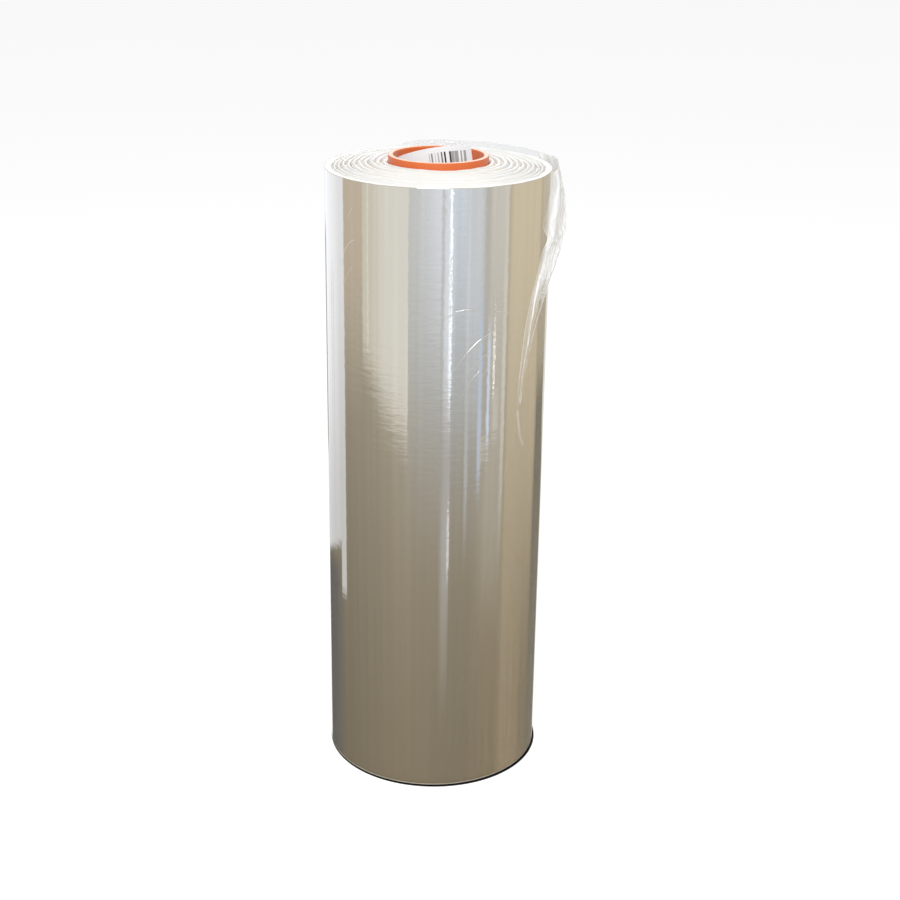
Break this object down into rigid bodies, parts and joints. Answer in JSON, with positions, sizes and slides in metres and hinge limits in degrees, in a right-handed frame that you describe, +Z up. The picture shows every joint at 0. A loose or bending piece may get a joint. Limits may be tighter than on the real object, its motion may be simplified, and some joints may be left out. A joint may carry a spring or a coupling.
{
  "type": "roll of shrink film",
  "caption": "Roll of clear shrink film on an orange plastic core, standing on its end, with its outermost turn loose and folded at the top.",
  "frame": {"origin": "on the floor at the core's axis, 0.9 mm under the lower end of the bore's straight wall", "axes": "+Z up along the core's axis; -Y is the roll's front and +X the side where the loose end is folded"},
  "size_m": [0.2075, 0.1942, 0.5614],
  "materials": {
    "film": "clear glossy film, silvery and slightly warm where many turns lie together",
    "core_plastic": "orange moulded plastic with a slight sheen",
    "label_paper": "smooth white label paper with plain black bars"
  },
  "bodies": {
    "root": {"core": "core_plastic", "film_roll": "film", "core_label": "label_paper"}
  },
  "joints": []
}
